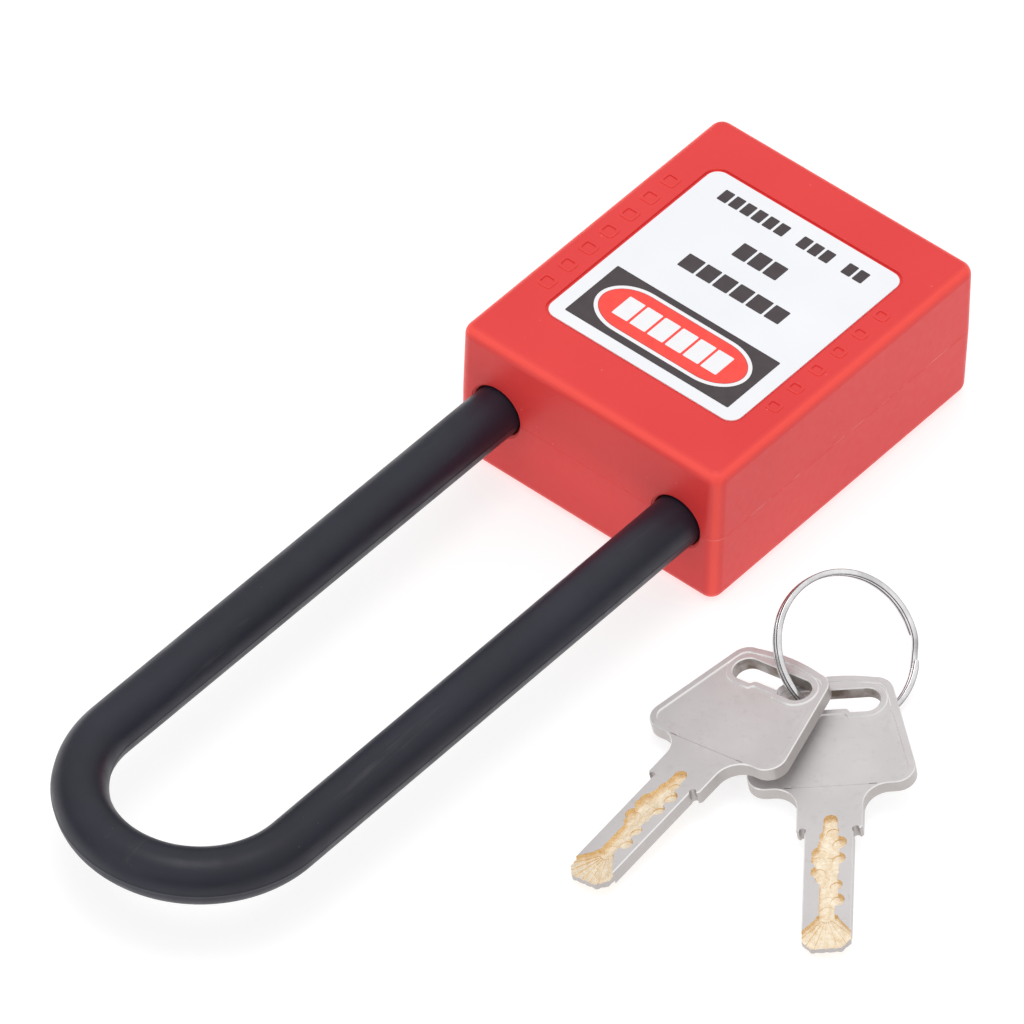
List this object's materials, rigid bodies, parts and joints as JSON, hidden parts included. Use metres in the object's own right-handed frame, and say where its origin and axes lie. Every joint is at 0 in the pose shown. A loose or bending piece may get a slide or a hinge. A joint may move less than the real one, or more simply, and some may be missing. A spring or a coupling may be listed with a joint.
{
  "type": "safety padlock",
  "caption": "Lockout padlock with a rectangular moulded body, a long slim U-shaped shackle, and flat track keys on a split ring.",
  "frame": {"origin": "middle of the body's rear face, on the rear label", "axes": "+Z towards the front label, +Y along the shackle towards its bow, +X to the heel leg's side"},
  "size_m": [0.0828, 0.1289, 0.02],
  "materials": {
    "red_plastic": "moulded red nylon, satin, fine texture",
    "label_white": "smooth white printed label",
    "black_nylon": "moulded black nylon, matte",
    "zinc": "die-cast zinc alloy",
    "brass": "machined brass",
    "spring_steel": "bright spring steel",
    "nickel": "brushed nickel plate on brass",
    "ring_steel": "bright nickel-plated spring steel"
  },
  "bodies": {
    "padlock_body": {"front_shell": "red_plastic", "rear_shell": "red_plastic", "front_label": "label_white", "rear_label": "label_white", "lock_case": "zinc", "cylinder_sleeve": "zinc", "shackle_spring": "spring_steel"},
    "shackle": {"shackle": "black_nylon"},
    "plug": {"plug": "brass", "plug_clip": "spring_steel", "cam": "zinc", "cam_screw": "spring_steel", "wafer_spring_1": "spring_steel", "wafer_spring_2": "spring_steel", "wafer_spring_3": "spring_steel", "wafer_spring_4": "spring_steel", "wafer_spring_5": "spring_steel", "wafer_spring_6": "spring_steel"},
    "ball_toe": {"ball_toe": "spring_steel"},
    "ball_heel": {"ball_heel": "spring_steel"},
    "wafer_1": {"wafer_1": "brass"},
    "wafer_2": {"wafer_2": "brass"},
    "wafer_3": {"wafer_3": "brass"},
    "wafer_4": {"wafer_4": "brass"},
    "wafer_5": {"wafer_5": "brass"},
    "wafer_6": {"wafer_6": "brass"},
    "keyring": {"key_ring": "ring_steel"},
    "key_1": {"key_1": "nickel"},
    "key_2": {"key_2": "nickel"}
  },
  "joints": [
    {"name": "shackle_lift", "type": "slide", "parent": "padlock_body", "child": "shackle", "axis": [0, 1, 0], "range_m": [0, 0.014], "deforming": ["shackle_spring"]},
    {"name": "plug_turn", "type": "hinge", "parent": "padlock_body", "child": "plug", "pos_m": [0, 0, 0.01], "axis": [0, 1, 0], "range_deg": [-90, 0]},
    {"name": "ball_toe_slide", "type": "slide", "parent": "padlock_body", "child": "ball_toe", "axis": [-1, 0, 0], "range_m": [0, 0.00165]},
    {"name": "ball_heel_slide", "type": "slide", "parent": "padlock_body", "child": "ball_heel", "axis": [1, 0, 0], "range_m": [0, 0.00165]},
    {"name": "wafer_1_slide", "type": "slide", "parent": "plug", "child": "wafer_1", "axis": [1, 0, 0], "range_m": [0, 0.0008], "deforming": ["wafer_spring_1"]},
    {"name": "wafer_2_slide", "type": "slide", "parent": "plug", "child": "wafer_2", "axis": [1, 0, 0], "range_m": [0, 0.0008], "deforming": ["wafer_spring_2"]},
    {"name": "wafer_3_slide", "type": "slide", "parent": "plug", "child": "wafer_3", "axis": [1, 0, 0], "range_m": [0, 0.0008], "deforming": ["wafer_spring_3"]},
    {"name": "wafer_4_slide", "type": "slide", "parent": "plug", "child": "wafer_4", "axis": [1, 0, 0], "range_m": [0, 0.0008], "deforming": ["wafer_spring_4"]},
    {"name": "wafer_5_slide", "type": "slide", "parent": "plug", "child": "wafer_5", "axis": [1, 0, 0], "range_m": [0, 0.0008], "deforming": ["wafer_spring_5"]},
    {"name": "wafer_6_slide", "type": "slide", "parent": "plug", "child": "wafer_6", "axis": [1, 0, 0], "range_m": [0, 0.0008], "deforming": ["wafer_spring_6"]},
    {"name": "keyring_lift", "type": "slide", "parent": "padlock_body", "child": "keyring", "axis": [0, 0, 1], "range_m": [0, 0.04]},
    {"name": "key_1_fan", "type": "hinge", "parent": "keyring", "child": "key_1", "pos_m": [-0.03666, 0.03153, 0.00591], "axis": [0, 0, 1], "range_deg": [-14, 5]},
    {"name": "key_2_fan", "type": "hinge", "parent": "keyring", "child": "key_2", "pos_m": [-0.0393, 0.03118, 0.00389], "axis": [0, 0, 1], "range_deg": [-22, 5]}
  ],
  "couplings": [
    {"joint": "ball_toe_slide", "follows": "plug_turn", "m_per_rad": -0.0010504},
    {"joint": "ball_heel_slide", "follows": "plug_turn", "m_per_rad": -0.0010504}
  ]
}
